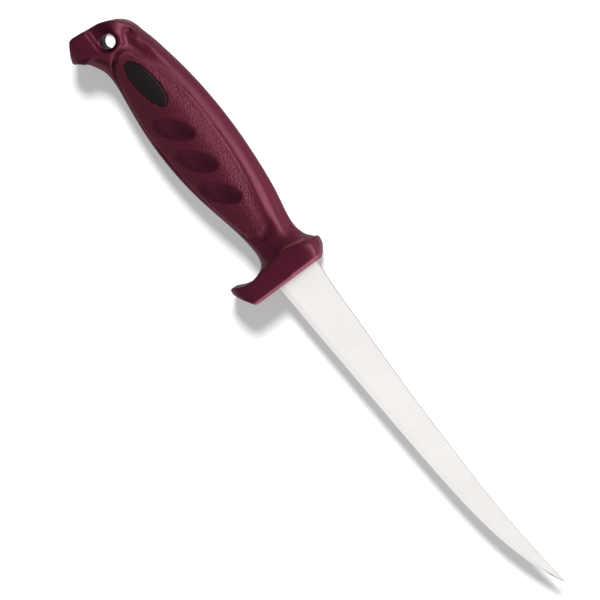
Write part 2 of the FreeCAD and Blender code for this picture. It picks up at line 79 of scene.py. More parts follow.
class SkinZone(Enum):
    """The zones of the grip's skin, each kept as an attribute that the plastic reads."""

    GRAIN = "grain"
    # Painted shade: a darker colour in the dimples
    DIMPLE_SHADE = "dimple_shade"
    # Painted shade: a darker band below the butt's arch
    ARCH_SHADE = "arch_shade"
    # Painted highlight: a paler colour on the guard's crease and front edge
    EDGE_HIGHLIGHT = "edge_highlight"


class Lit(Enum):
    """What a lamp lights."""

    FLOOR = "floor"
    PLASTIC = "plastic"
    STEEL = "steel"


def linear(code: str) -> tuple[float, float, float, float]:
    """Turn an sRGB hex colour into linear light.

    Args:
        code: The colour as #RRGGBB.

    Returns:
        Linear red, green, blue and a full alpha.
    """
    parts = [int(code[index:index + 2], 16) / 255 for index in (1, 3, 5)]
    values = [part / 12.92 if part <= 0.04045 else ((part + 0.055) / 1.055) ** 2.4 for part in parts]
    return (*values, 1.0)


def per_mm(size: float) -> float:
    """Return the texture scale that gives features of a size in millimetres."""
    return 1.0 / (size * MM)


def add_node(tree: bpy.types.NodeTree, kind: str, settings: dict | None = None,
             values: dict | None = None, links: dict | None = None) -> bpy.types.Node:
    """Add one node with its settings, its socket values and the links that feed it.

    Args:
        tree: The node tree that gets the node.
        kind: The node's type name.
        settings: Properties of the node.
        values: Socket values, by socket name or index.
        links: Output sockets that feed the node, by input name or index.

    Returns:
        The new node.
    """
    node = tree.nodes.new(kind)
    for name, value in (settings or {}).items():
        setattr(node, name, value)
    for name, value in (values or {}).items():
        node.inputs[name].default_value = value
    for name, source in (links or {}).items():
        tree.links.new(source, node.inputs[name])
    return node


def new_material(name: str) -> tuple[bpy.types.Material, bpy.types.NodeTree]:
    """Start an empty node material.

    Args:
        name: The material's name.

    Returns:
        The material and its node tree.
    """
    material = bpy.data.materials.new(name)
    material.use_nodes = True
    material.node_tree.nodes.clear()
    return material, material.node_tree


@dataclass(frozen=True)
class MouldedPolypropylene:
    """Dyed polypropylene from a polished mould, with a spark-eroded grain on the grip panels.

    It gives a deep wine body with a soft, tinted sheen on the smooth forms, fine bright pebbles where the
    grained panels turn to the light, painted shade in a darker colour in the smooth dimples and below the
    butt's arch, and a painted highlight in a paler colour along the guard's crease and front edge.
    """

    smooth_colour: str = "#541A2D"
    grain_colour: str = "#561B2E"
    deep_colour: str = "#4E1629"
    # Painted shade: a darker colour in the dimples
    dimple_shade_colour: str = "#421323"
    # Painted shade: a darker band below the butt's arch
    arch_shade_colour: str = "#250912"
    # Painted highlight: a paler colour on the guard's crease and front edge
    edge_highlight_colour: str = "#8A4C58"
    sheen_colour: str = "#FF9FAE"
    cloud_size: float = 9.0
    # The real grain is about 0.3 mm; it is drawn at 0.6 mm so that it shows at the render's scale
    grain_size: float = 0.6
    grain_height: float = 0.23
    pebble_smoothness: float = 0.6
    pit_share: float = 0.8
    skin_size: float = 0.5
    skin_height: float = 0.008
    smooth_roughness: float = 0.42
    grain_roughness: float = 0.44
    specular_level: float = 0.5

    def material(self) -> bpy.types.Material:
        """Build the plastic, with each zone of the skin where the piece's own attributes ask for it.

        Returns:
            The material.
        """
        material, tree = new_material("moulded_polypropylene")
        place = add_node(tree, "ShaderNodeTexCoord").outputs["Object"]
        cloud = add_node(tree, "ShaderNodeTexNoise", values={
            "Scale": per_mm(self.cloud_size), "Detail": BROAD_DETAIL}, links={"Vector": place}).outputs["Fac"]
        colour = add_node(tree, "ShaderNodeMix", {"data_type": "RGBA"}, {
            6: linear(self.deep_colour), 7: linear(self.smooth_colour)}, {0: cloud}).outputs[2]
        # The grain's own tone, painted shade in the dimples and below the arch, and painted highlights on the
        # guard's edges
        tones = {
            SkinZone.GRAIN: self.grain_colour, SkinZone.DIMPLE_SHADE: self.dimple_shade_colour,
            SkinZone.ARCH_SHADE: self.arch_shade_colour, SkinZone.EDGE_HIGHLIGHT: self.edge_highlight_colour,
        }
        shares = {}
        for zone, tone in tones.items():
            shares[zone] = add_node(
                tree, "ShaderNodeAttribute", {"attribute_name": zone.value}).outputs["Fac"]
            colour = add_node(tree, "ShaderNodeMix", {"data_type": "RGBA"}, {7: linear(tone)},
                              {0: shares[zone], 6: colour}).outputs[2]
        mask = shares[SkinZone.GRAIN]
        pebbles = add_node(tree, "ShaderNodeTexVoronoi", {"feature": "SMOOTH_F1"}, {
            "Scale": per_mm(self.grain_size), "Smoothness": self.pebble_smoothness},
            {"Vector": place}).outputs["Distance"]
        pits = add_node(tree, "ShaderNodeTexNoise", values={
            "Scale": per_mm(self.grain_size * self.pit_share), "Detail": FINE_DETAIL},
            links={"Vector": place}).outputs["Fac"]
        relief = add_node(tree, "ShaderNodeMath", {"operation": "SUBTRACT"},
                          links={0: pits, 1: pebbles}).outputs[0]
        grain = add_node(tree, "ShaderNodeMath", {"operation": "MULTIPLY"},
                         links={0: relief, 1: mask}).outputs[0]
        skin = add_node(tree, "ShaderNodeTexNoise", values={
            "Scale": per_mm(self.skin_size), "Detail": FINE_DETAIL}, links={"Vector": place}).outputs["Fac"]
        fine = add_node(tree, "ShaderNodeBump", values={
            "Strength": 1.0, "Distance": self.skin_height * MM}, links={"Height": skin}).outputs[0]
        bump = add_node(tree, "ShaderNodeBump", values={
            "Strength": 1.0, "Distance": self.grain_height * MM},
            links={"Height": grain, "Normal": fine}).outputs[0]
        rough = add_node(tree, "ShaderNodeMapRange", values={
            "To Min": self.smooth_roughness, "To Max": self.grain_roughness},
            links={"Value": mask}).outputs[0]
        shader = add_node(tree, "ShaderNodeBsdfPrincipled", values={
            "IOR": PLASTIC_IOR, "Specular IOR Level": self.specular_level,
            "Specular Tint": linear(self.sheen_colour)},
            links={"Base Color": colour, "Roughness": rough, "Normal": bump}).outputs[0]
        add_node(tree, "ShaderNodeOutputMaterial", links={"Surface": shader})
        return material


@dataclass(frozen=True)
class SatinGroundSteel:
    """Stainless steel, ground across the blade and then satin finished.

    It gives a pale, even brightness with faint lines across the blade and slightly warmer, duller patches.
    """

    light_colour: str = "#F6F3F1"
    dull_colour: str = "#EFEBE8"
    # Grinding lines are some hundredths of a millimetre apart; they are drawn at 0.45 mm to show
    line_spacing: float = 0.45
    line_length: float = 16.0
    line_height: float = 0.003
    line_harshness: float = 0.6
    patch_size: float = 22.0
    # The range of lines times patches that runs from the dull to the light colour
    tone_range: Span = (0.12, 0.42)
    roughness: Span = (0.26, 0.36)

    def material(self) -> bpy.types.Material:
        """Build the steel.

        Returns:
            The material.
        """
        material, tree = new_material("satin_ground_steel")
        place = add_node(tree, "ShaderNodeTexCoord").outputs["Object"]
        ratio = self.line_spacing / self.line_length
        stretched = add_node(tree, "ShaderNodeMapping", values={"Scale": (1.0, ratio, ratio)},
                             links={"Vector": place}).outputs[0]
        lines = add_node(tree, "ShaderNodeTexNoise", values={
            "Scale": per_mm(self.line_spacing), "Detail": BROAD_DETAIL, "Roughness": self.line_harshness},
            links={"Vector": stretched}).outputs["Fac"]
        patch = add_node(tree, "ShaderNodeTexNoise", values={
            "Scale": per_mm(self.patch_size), "Detail": FINE_DETAIL}, links={"Vector": place}).outputs["Fac"]
        tone = add_node(tree, "ShaderNodeMath", {"operation": "MULTIPLY"},
                        links={0: lines, 1: patch}).outputs[0]
        share = add_node(tree, "ShaderNodeMapRange", values={
            "From Min": self.tone_range[0], "From Max": self.tone_range[1]}, links={"Value": tone}).outputs[0]
        colour = add_node(tree, "ShaderNodeMix", {"data_type": "RGBA"}, {
            6: linear(self.dull_colour), 7: linear(self.light_colour)}, {0: share}).outputs[2]
        rough = add_node(tree, "ShaderNodeMapRange", values={
            "To Min": self.roughness[0], "To Max": self.roughness[1]}, links={"Value": lines}).outputs[0]
        bump = add_node(tree, "ShaderNodeBump", values={
            "Strength": 1.0, "Distance": self.line_height * MM}, links={"Height": lines}).outputs[0]
        shader = add_node(tree, "ShaderNodeBsdfPrincipled", values={"Metallic": 1.0},
                          links={"Base Color": colour, "Roughness": rough, "Normal": bump}).outputs[0]
        add_node(tree, "ShaderNodeOutputMaterial", links={"Surface": shader})
        return material


@dataclass(frozen=True)
class BlackInlay:
    """Black acrylic inlay with a lightly textured face, which gives a dark, even oval with a soft gloss."""

    colour: str = "#1D1918"
    worn_colour: str = "#231E1D"
    texture_size: float = 0.6
    texture_height: float = 0.02
    roughness: float = 0.5
    specular_level: float = 0.2

    def material(self) -> bpy.types.Material:
        """Build the inlay's plastic.

        Returns:
            The material.
        """
        material, tree = new_material("black_acrylic_inlay")
        place = add_node(tree, "ShaderNodeTexCoord").outputs["Object"]
        fleck = add_node(tree, "ShaderNodeTexNoise", values={
            "Scale": per_mm(self.texture_size), "Detail": FINE_DETAIL},
            links={"Vector": place}).outputs["Fac"]
        colour = add_node(tree, "ShaderNodeMix", {"data_type": "RGBA"}, {
            6: linear(self.colour), 7: linear(self.worn_colour)}, {0: fleck}).outputs[2]
        bump = add_node(tree, "ShaderNodeBump", values={
            "Strength": 1.0, "Distance": self.texture_height * MM}, links={"Height": fleck}).outputs[0]
        shader = add_node(tree, "ShaderNodeBsdfPrincipled", values={
            "Roughness": self.roughness, "IOR": PLASTIC_IOR, "Specular IOR Level": self.specular_level},
            links={"Base Color": colour, "Normal": bump}).outputs[0]
        add_node(tree, "ShaderNodeOutputMaterial", links={"Surface": shader})
        return material


def merged_copy(node: str) -> bmesh.types.BMesh:
    """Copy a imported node's mesh and join its loose triangles.

    Args:
        node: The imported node's name.

    Returns:
        The joined copy.
    """
    work = bmesh.new()
    work.from_mesh(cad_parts[node].data)
    bmesh.ops.remove_doubles(work, verts=work.verts[:], dist=MERGE_GAP * MM)
    return work


def new_piece(name: str, work: bmesh.types.BMesh) -> bpy.types.Object:
    """Turn a finished bmesh into an object at the origin.

    Args:
        name: The piece's name.
        work: The mesh, which is freed.

    Returns:
        The new object.
    """
    mesh = bpy.data.meshes.new(name)
    work.to_mesh(mesh)
    work.free()
    piece = bpy.data.objects.new(name, mesh)
    bpy.context.scene.collection.objects.link(piece)
    return piece


def voxel_skin(piece: bpy.types.Object, voxel: float) -> None:
    """Give a piece one even, closed skin of small faces, as if it were drawn off a mould.

    Args:
        piece: The piece whose mesh is replaced.
        voxel: The size of the new faces, in millimetres.
    """
    remesh = piece.modifiers.new("skin", "REMESH")
    remesh.mode = "VOXEL"
    remesh.voxel_size = voxel * MM
    bpy.context.view_layer.update()
    solved = piece.evaluated_get(bpy.context.evaluated_depsgraph_get())
    mesh = bpy.data.meshes.new_from_object(solved)
    mesh.name = piece.name
    piece.modifiers.clear()
    piece.data = mesh


def relax(piece: bpy.types.Object, chosen: np.ndarray, rounds: int) -> None:
    """Soften part of a piece's skin, so that its edges blend as moulded ones do.

    Args:
        piece: The piece to soften.
        chosen: A flag for each vertex that may move.
        rounds: How many times each vertex moves towards its neighbours.
    """
    work = bmesh.new()
    work.from_mesh(piece.data)
    verts = [vert for vert, flag in zip(work.verts, chosen) if flag]
    for _ in range(rounds):
        bmesh.ops.smooth_vert(
            work, verts=verts, factor=SOFTENING, use_axis_x=True, use_axis_y=True, use_axis_z=True)
    work.to_mesh(piece.data)
    work.free()


def points_of(piece: bpy.types.Object) -> np.ndarray:
    """Return the places of a piece's vertices, in millimetres."""
    flat = np.zeros(len(piece.data.vertices) * 3)
    piece.data.vertices.foreach_get("co", flat)
    return flat.reshape(-1, 3) / MM


def put_points(piece: bpy.types.Object, points: np.ndarray) -> None:
    """Move a piece's vertices to places in millimetres."""
    piece.data.vertices.foreach_set("co", (points * MM).ravel())
    piece.data.update()


def arc(start: Vector, end: Vector, radius: float, steps: int = 10) -> list[Vector]:
    """Follow an anticlockwise arc between two points.

    Args:
        start: The arc's first point.
        end: The arc's last point.
        radius: The arc's radius.
        steps: How many points to give, the last point left out.

    Returns:
        Points along the arc, from its start.
    """
    chord = end - start
    normal = Vector((-chord.y, chord.x)).normalized()
    centre = start + chord / 2 + normal * math.sqrt(radius ** 2 - (chord.length / 2) ** 2)
    spoke = start - centre
    angle = 2 * math.asin(chord.length / 2 / radius)
    return [centre + Matrix.Rotation(angle * step / steps, 2) @ spoke for step in range(steps)]


def depth_inside(points: np.ndarray, outline: list[Vector]) -> np.ndarray:
    """Measure how far points lie inside a closed outline, seen from the side of the knife.

    Args:
        points: Places in millimetres, one row each.
        outline: The outline's points, in millimetres.

    Returns:
        The distance to the outline, negative outside it.
    """
    nearest = np.full(len(points), np.inf)
    inside = np.zeros(len(points), bool)
    x, y = points[:, 0], points[:, 1]
    for first, last in zip(outline, outline[1:] + outline[:1]):
        run = last - first
        along = ((x - first.x) * run.x + (y - first.y) * run.y) / run.length_squared
        along = np.clip(along, 0.0, 1.0)
        gap = np.hypot(x - first.x - along * run.x, y - first.y - along * run.y)
        nearest = np.minimum(nearest, gap)
        if run.y != 0.0:
            crosses = (first.y > y) != (last.y > y)
            inside ^= crosses & (x < first.x + (y - first.y) / run.y * run.x)
    return np.where(inside, nearest, -nearest)


def side_gap(points: np.ndarray, line: Table) -> np.ndarray:
    """Measure places against an open line.

    Args:
        points: Places in millimetres.
        line: The line's points in millimetres.

    Returns:
        The distance from the line, above zero on the left of its run and below zero on the right.
    """
    best = np.full(len(points), np.inf)
    signed = np.zeros(len(points))
    for start, end in zip(line, line[1:]):
        run = np.subtract(end, start)
        away = points[:, :2] - start
        share = np.clip(away @ run / (run @ run), 0.0, 1.0)
        gap = np.linalg.norm(away - share[:, None] * run, axis=1)
        turn = run[0] * away[:, 1] - run[1] * away[:, 0]
        nearer = gap < best
        best = np.where(nearer, gap, best)
        signed = np.where(nearer, np.where(turn < 0.0, -gap, gap), signed)
    return signed


def ease(values: np.ndarray, low: float, high: float) -> np.ndarray:
    """Return a smooth step from 0 at low to 1 at high."""
    share = np.clip((values - low) / (high - low), 0.0, 1.0)
    return share * share * (3.0 - 2.0 * share)


@dataclass(frozen=True)
class SoftPatch:
    """A patch of the grip's skin that is softened for some rounds, with its limits in millimetres.

    The limits hold for the places along and across the grip, the depth inside the panel's outline, and the
    distances from the mid plane and from the middle of the lanyard bore.
    """

    rounds: int
    along: Span = EVERYWHERE
    across: Span = EVERYWHERE
    inside: Span = EVERYWHERE
    from_mid: Span = EVERYWHERE
    from_bore: Span = EVERYWHERE

    def holds(self, points: np.ndarray, inside: np.ndarray) -> np.ndarray:
        """Find the places that lie in the patch.

        Args:
            points: Places in millimetres.
            inside: How far each place lies inside the panel's outline.

        Returns:
            A flag for each place.
        """
        x, y, z = points.T
        from_bore = np.hypot(x - BORE_PLACE[0], y - BORE_PLACE[1])
        limits = (
            (x, self.along), (y, self.across), (inside, self.inside),
            (np.abs(z - MID_LEVEL), self.from_mid), (from_bore, self.from_bore),
        )
        chosen = np.ones(len(points), bool)
        for values, (low, high) in limits:
            chosen &= (values > low) & (values < high)
        return chosen


@dataclass
class Grip:
    """The moulded handle, with its grained panels, finger dimples, guard, butt and lanyard hole.

    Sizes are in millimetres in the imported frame. A panel corner is its place and the radius of the arc
    that ends there.
    """

    finish: MouldedPolypropylene
    voxel: float = 0.40
    # The block that fills the tang's slot
    plug_margin: float = 0.3
    plug_setback: float = 3.0
    plug_height: float = 12.0
    plug_level: float = 4.7
    # The grained panel's corners
    panel: Table = (
        (-120.22, 5.45, 84.7), (-121.95, 0.84, 3.47), (-115.88, -4.31, 11.27), (-83.80, -8.35, 82.4),
        (-39.76, -1.95, 155.2), (-35.25, 2.71, 6.07), (-40.45, 8.50, 9.36), (-79.55, 13.20, 141.6),
    )
    # Where the grain sets in: at depths inside the panel's edge, and at distances from a dimple's middle, in
    # units of the dimple's reach
    grain_edge: Span = (-0.3, 0.5)
    grain_rim: Span = (0.96, 1.1)
    dimple_places: Table = ((-57.25, 0.65), (-72.15, 0.65), (-87.05, 0.65))
    dimple_reach: Span = (8.75, 3.9)
    dimple_angle: float = 40.0
    dimple_press: float = 0.35
    dimple_rounds: int = 12
    # Distances from a dimple's middle, in the same units, where its painted shade, a darker colour, runs out
    dimple_shade_rim: Span = (0.90, 1.04)
    # Places along the valley in front of the butt, with the depth and the reach of the press at each
    valley: Table = (
        (-127.9, 7.9, 1.0, 2.3), (-127.4, 6.1, 0.8, 1.6), (-123.6, 7.2, 1.1, 1.8), (-120.6, 7.2, 0.9, 1.8),
        (-117.6, 8.6, 0.7, 1.8), (-114.6, 9.9, 0.5, 1.6),
    )
    # The groove below the spine bead, which is filled above a level; near the butt the fill is a slope
    groove_depth: float = 1.3
    groove_level: float = 3.0
    fill_end: Span = (-39.5, -36.0)
    butt_run: Span = (-108.0, -98.0)
    slope_run: Span = (-129.0, -123.0)
    slope_start: float = 1.4
    slope_width: float = 2.4
    # Distances from the mid plane where a press, the bead, a crease and a painted edge highlight set in
    press_side: Span = (3.0, 7.0)
    bead_side: Span = (2.0, 6.0)
    crease_side: Span = (3.0, 6.0)
    highlight_side: Span = (5.0, 8.0)
    # The rise of the skin at distances outside the panel's edge: its rolled edge, the valley and the bead
    shoulder: Table = (
        (-6.5, 0.0), (-5.4, -0.06), (-4.2, -0.20), (-3.2, -0.44), (-2.2, -0.75), (-1.2, -1.03), (-0.7, -1.09),
        (-0.2, -0.78), (0.3, -0.38), (0.8, -0.26), (1.3, -0.28), (1.8, -0.39), (2.3, -0.43),
    )
    # The levels where that rise sets in, and the places where it starts, is full, fades and ends
    shoulder_level: Span = (-1.0, 5.0)
    bead_run: tuple[float, float, float, float] = (-120.0, -106.0, -42.0, -34.0)
    # The foot of the spine bead along the groove
    bead_foot: Table = (
        (-128.0, 9.4), (-126.25, 10.25), (-112.25, 11.65), (-105.25, 12.8), (-100.25, 13.45), (-94.55, 14.0),
        (-79.55, 14.5), (-64.55, 14.1), (-49.55, 12.12), (-39.25, 9.85), (-32.5, 8.4), (-28.0, 8.0),
    )
    # The share of its height that the skin keeps at distances above the bead's foot, less its offset, and
    # the places where that rounding runs out
    foot_offset: float = 1.3
    spine_round: Table = (
        (1.6, 1.0), (2.0, 0.99), (2.5, 0.973), (3.0, 0.955), (3.5, 0.93), (4.0, 0.885), (4.5, 0.825),
        (5.0, 0.76), (6.0, 0.68),
    )
    round_end: Span = (-33.0, -25.0)
    # The guard's moulded crease, with its rise and its reach to the left and to the right of its line
    guard_line: Table = ((-26.2, 5.7), (-26.3, 8.2), (-25.7, 11.1), (-24.9, 14.2), (-24.2, 18.5))
    crease_rise: float = 0.35
    crease_reach: Span = (0.35, 1.8)
    # The guard's painted edge highlights, drawn in a paler colour: along the crease, where it stands high
    # enough, and round the front face
    highlight_reach: float = 0.35
    highlight_run: Span = (4.0, 11.0)
    highlight_front: Span = (-16.45, -16.15)
    # The butt's arch, the widths of the crisp side and of the run-out of the painted shade below it, drawn in
    # a darker colour, and the distances outside the panel where that painted shade sets in
    arch: Table = (
        (-128.6, -11.6), (-128.1, -10.3), (-127.3, -8.6), (-125.9, -6.6), (-123.6, -4.6), (-120.9, -3.0),
    )
    arch_shade_widths: Span = (0.45, 2.0)
    arch_shade_start: Span = (0.0, 1.5)
    # The mould's roundings, in order: on all but the bore, at the panel's edge, on the butt's shoulder, on
    # the guard, and on the hook
    mould_patches: tuple[SoftPatch, ...] = (
        SoftPatch(4, from_bore=(3.9, math.inf)),
        SoftPatch(160, along=(-124.0, math.inf), across=(-2.0, math.inf), inside=(-1.9, 0.7)),
        SoftPatch(22, along=(-129.0, -108.0), across=(5.5, math.inf), inside=(-math.inf, 0.5)),
        SoftPatch(60, along=(-46.0, -13.5), across=(4.0, math.inf), inside=(-math.inf, -0.5),
                  from_mid=(5.0, math.inf)),
        SoftPatch(10, along=(-math.inf, -122.0), from_bore=(5.5, math.inf)),
    )
    # The roundings of the raised bead: its whole width, the panel's upper edge and the end at the butt
    bead_patches: tuple[SoftPatch, ...] = (
        SoftPatch(4, across=(2.0, math.inf), inside=(-5.0, 2.0)),
        SoftPatch(14, across=(2.0, math.inf), inside=(-1.3, 1.6)),
        SoftPatch(30, along=(-116.0, -98.0), across=(8.0, math.inf), inside=(-math.inf, 0.5)),
    )

    def outline(self) -> list[Vector]:
        """Return the grained panel's outline as points along its arcs."""
        corners = [Vector(corner[:2]) for corner in self.panel]
        points = []
        for index, (_, _, radius) in enumerate(self.panel):
            points += arc(corners[index - 1], corners[index], radius)
        return points

    def dimple_field(self, points: np.ndarray) -> np.ndarray:
        """Measure places against the dimples.

        Args:
            points: Places in millimetres.

        Returns:
            The distance from the nearest dimple's middle, in units of the dimple's own reach.
        """
        turn = math.radians(self.dimple_angle)
        field = np.full(len(points), np.inf)
        for x, y in self.dimple_places:
            dx, dy = points[:, 0] - x, points[:, 1] - y
            along = (dx * math.cos(turn) + dy * math.sin(turn)) / self.dimple_reach[0]
            across = (dy * math.cos(turn) - dx * math.sin(turn)) / self.dimple_reach[1]
            field = np.minimum(field, np.hypot(along, across))
        return field

    def plug(self, work: bmesh.types.BMesh) -> None:
        """Fill the tang's hidden slot, so that the skin is drawn on the outside alone.

        Args:
            work: The handle's mesh, which gets a block.
        """
        low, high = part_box("blade")
        margin = self.plug_margin * MM
        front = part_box("handle")[1].x - self.plug_setback * MM
        block = Vector((front - low.x + margin, self.plug_height * MM, high.z - low.z + 2 * margin))
        middle = Vector(((front + low.x - margin) / 2, self.plug_level * MM, (low.z + high.z) / 2))
        bmesh.ops.create_cube(work, size=1.0, matrix=Matrix.LocRotScale(middle, None, block))

    def press(self, piece: bpy.types.Object, inside: np.ndarray) -> None:
        """Fill the groove along the spine, and press the dimples and the butt's valleys, on both sides.

        Args:
            piece: The handle's skin.
            inside: How far each vertex lies inside the panel's outline.
        """
        points = points_of(piece)
        x, y = points[:, 0], points[:, 1]
        sink = self.dimple_press * np.sqrt(np.clip(1.0 - self.dimple_field(points) ** 2, 0.0, 1.0))
        for place_x, place_y, depth, reach in self.valley:
            gap = np.hypot(x - place_x, y - place_y) / reach
            sink = np.maximum(sink, depth * np.exp(-gap ** 2))
        below = self.foot(x) - y
        outside = (inside < 0.0) & (below > 0.0) & (y > self.groove_level)
        long = ease(x, *self.butt_run)
        slope = np.clip(1.0 - (below - self.slope_start) / self.slope_width, 0.0, 1.0)
        slope *= ease(x, *self.slope_run)
        fill = (long + slope * (1.0 - long)) * (1.0 - ease(x, *self.fill_end))
        sink = sink - self.groove_depth * fill * outside
        height = points[:, 2] - MID_LEVEL
        points[:, 2] -= np.sign(height) * sink * ease(np.abs(height), *self.press_side)
        put_points(piece, points)

    def foot(self, x: np.ndarray) -> np.ndarray:
        """Return the level of the spine bead's foot at places along the handle."""
        return np.interp(x, *np.array(self.bead_foot).T)

    def raise_bead(self, piece: bpy.types.Object, inside: np.ndarray) -> None:
        """Raise the rounded bead along the spine, and roll the panels' upper edges down to meet it.

        Args:
            piece: The handle's skin.
            inside: How far each vertex lies inside the panel's outline.
        """
        points = points_of(piece)
        x, y = points[:, 0], points[:, 1]
        start, full, fade, end = self.bead_run
        share = ease(x, start, full) * (1.0 - ease(x, fade, end))
        rise = np.interp(-inside, *np.array(self.shoulder).T) * share * ease(y, *self.shoulder_level)
        height = points[:, 2] - MID_LEVEL
        rise *= np.sign(height) * ease(np.abs(height), *self.bead_side)
        share = ease(x, start, full) * (1.0 - ease(x, *self.round_end))
        above = y - self.foot(x) + self.foot_offset
        keep = 1.0 - share * (1.0 - np.interp(above, *np.array(self.spine_round).T))
        points[:, 2] = MID_LEVEL + keep * (height + rise)
        put_points(piece, points)
        for patch in self.bead_patches:
            relax(piece, patch.holds(points, inside), patch.rounds)

    def crease(self, piece: bpy.types.Object) -> None:
        """Draw the crisp moulded crease of the guard on both sides.

        Args:
            piece: The handle's skin.
        """
        points = points_of(piece)
        height = points[:, 2] - MID_LEVEL
        gap = side_gap(points, self.guard_line)
        bump = self.crease_rise * np.exp(-(gap / np.where(gap > 0.0, *self.crease_reach)) ** 2)
        points[:, 2] += np.sign(height) * bump * ease(np.abs(height), *self.crease_side)
        low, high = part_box("handle")
        points[:, 2] = np.clip(points[:, 2], low.z / MM, high.z / MM)
        put_points(piece, points)

    def arch_shade(self, points: np.ndarray, inside: np.ndarray) -> np.ndarray:
        """Find the band of painted shade, a darker colour, below the butt's arch.

        Args:
            points: Places in millimetres.
            inside: How far each place lies inside the panel's outline.

        Returns:
            The share of the painted shade at each place.
        """
        crisp, run_out = self.arch_shade_widths
        gap = np.minimum(side_gap(points, self.arch), 0.0)
        share = (1.0 - np.exp(-(gap / crisp) ** 2)) * np.exp(-(gap / run_out) ** 2)
        return share * ease(-inside, *self.arch_shade_start)

    def edge_highlights(self, points: np.ndarray) -> np.ndarray:
        """Find the guard's edges that get a paler colour as a painted highlight.

        Args:
            points: Places in millimetres.

        Returns:
            One on the edges, and zero away from them.
        """
        gap = side_gap(points, self.guard_line)
        back = np.exp(-(gap / self.highlight_reach) ** 2) * ease(points[:, 1], *self.highlight_run)
        front = ease(points[:, 0], *self.highlight_front)
        return np.maximum(back, front) * ease(np.abs(points[:, 2] - MID_LEVEL), *self.highlight_side)

    def soften(self, piece: bpy.types.Object, inside: np.ndarray) -> None:
        """Round the skin's edges as the mould does, most of all at the spine bead, the guard and the butt.

        Args:
            piece: The handle's skin.
            inside: How far each vertex lies inside the panel's outline.
        """
        points = points_of(piece)
        for patch in self.mould_patches:
            relax(piece, patch.holds(points, inside), patch.rounds)
        relax(piece, self.dimple_field(points) < 1.0, self.dimple_rounds)

    def build(self) -> bpy.types.Object:
        """Draw the handle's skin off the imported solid, and soften its edges as the mould does.

        Returns:
            The finished piece.
        """
        work = merged_copy("handle")
        self.plug(work)
        piece = new_piece("grip_moulding", work)
        voxel_skin(piece, self.voxel)
        points = points_of(piece)
        inside = depth_inside(points, self.outline())
        dimples = self.dimple_field(points)
        self.press(piece, inside)
        self.soften(piece, inside)
        self.raise_bead(piece, inside)
        self.crease(piece)
        # The grain is the skin's own; the other zones carry painted shade and painted highlights
        shares = {
            SkinZone.GRAIN: ease(inside, *self.grain_edge) * ease(dimples, *self.grain_rim),
            SkinZone.DIMPLE_SHADE: 1.0 - ease(dimples, *self.dimple_shade_rim),
            SkinZone.ARCH_SHADE: self.arch_shade(points, inside),
            SkinZone.EDGE_HIGHLIGHT: self.edge_highlights(points),
        }
        for zone, values in shares.items():
            layer = piece.data.attributes.new(zone.value, "FLOAT", "POINT")
            layer.data.foreach_set("value", values.astype(np.float32))
        piece.data.shade_smooth()
        piece.data.materials.clear()
        piece.data.materials.append(self.finish.material())
        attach(piece, "root")
        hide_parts("handle")
        return piece


@dataclass
class Blade:
    """The ground blade, with the tang that the grip hides."""

    finish: SatinGroundSteel
    crease_angle: float = 6.0

    def build(self) -> bpy.types.Object:
        """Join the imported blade's triangles and shade it smooth between its ground edges.

        Returns:
            The finished piece.
        """
        work = merged_copy("blade")
        for edge in work.edges:
            if len(edge.link_faces) == 2 and edge.calc_face_angle(0.0) > math.radians(self.crease_angle):
                edge.smooth = False
        for face in work.faces:
            face.smooth = True
        piece = new_piece("ground_blade", work)
        piece.data.materials.append(self.finish.material())
        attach(piece, "root")
        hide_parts("blade")
        return piece


@dataclass
class Badge:
    """One bare oval inlay in the side of the grip."""

    side: Side
    finish: BlackInlay
    voxel: float = 0.2
    rim_rounds: int = 3

    def build(self) -> bpy.types.Object:
        """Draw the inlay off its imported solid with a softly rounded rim.

        Returns:
            The finished piece.
        """
        node = f"badge_{self.side.value}"
        piece = new_piece(f"{node}_inlay", merged_copy(node))
        voxel_skin(piece, self.voxel)
        relax(piece, np.ones(len(piece.data.vertices), bool), self.rim_rounds)
        piece.data.shade_smooth()
        piece.data.materials.clear()
        piece.data.materials.append(self.finish.material())
        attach(piece, "root")
        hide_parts(node)
        return piece


@dataclass(frozen=True)
class FlatLamp:
    """A flat lamp a metre off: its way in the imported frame, its size in metres and its power in watts."""

    name: str
    lit: Lit
    way: tuple[float, float, float]
    size: Span
    power: float
    diffuse: bool = True
    glossy: bool = True


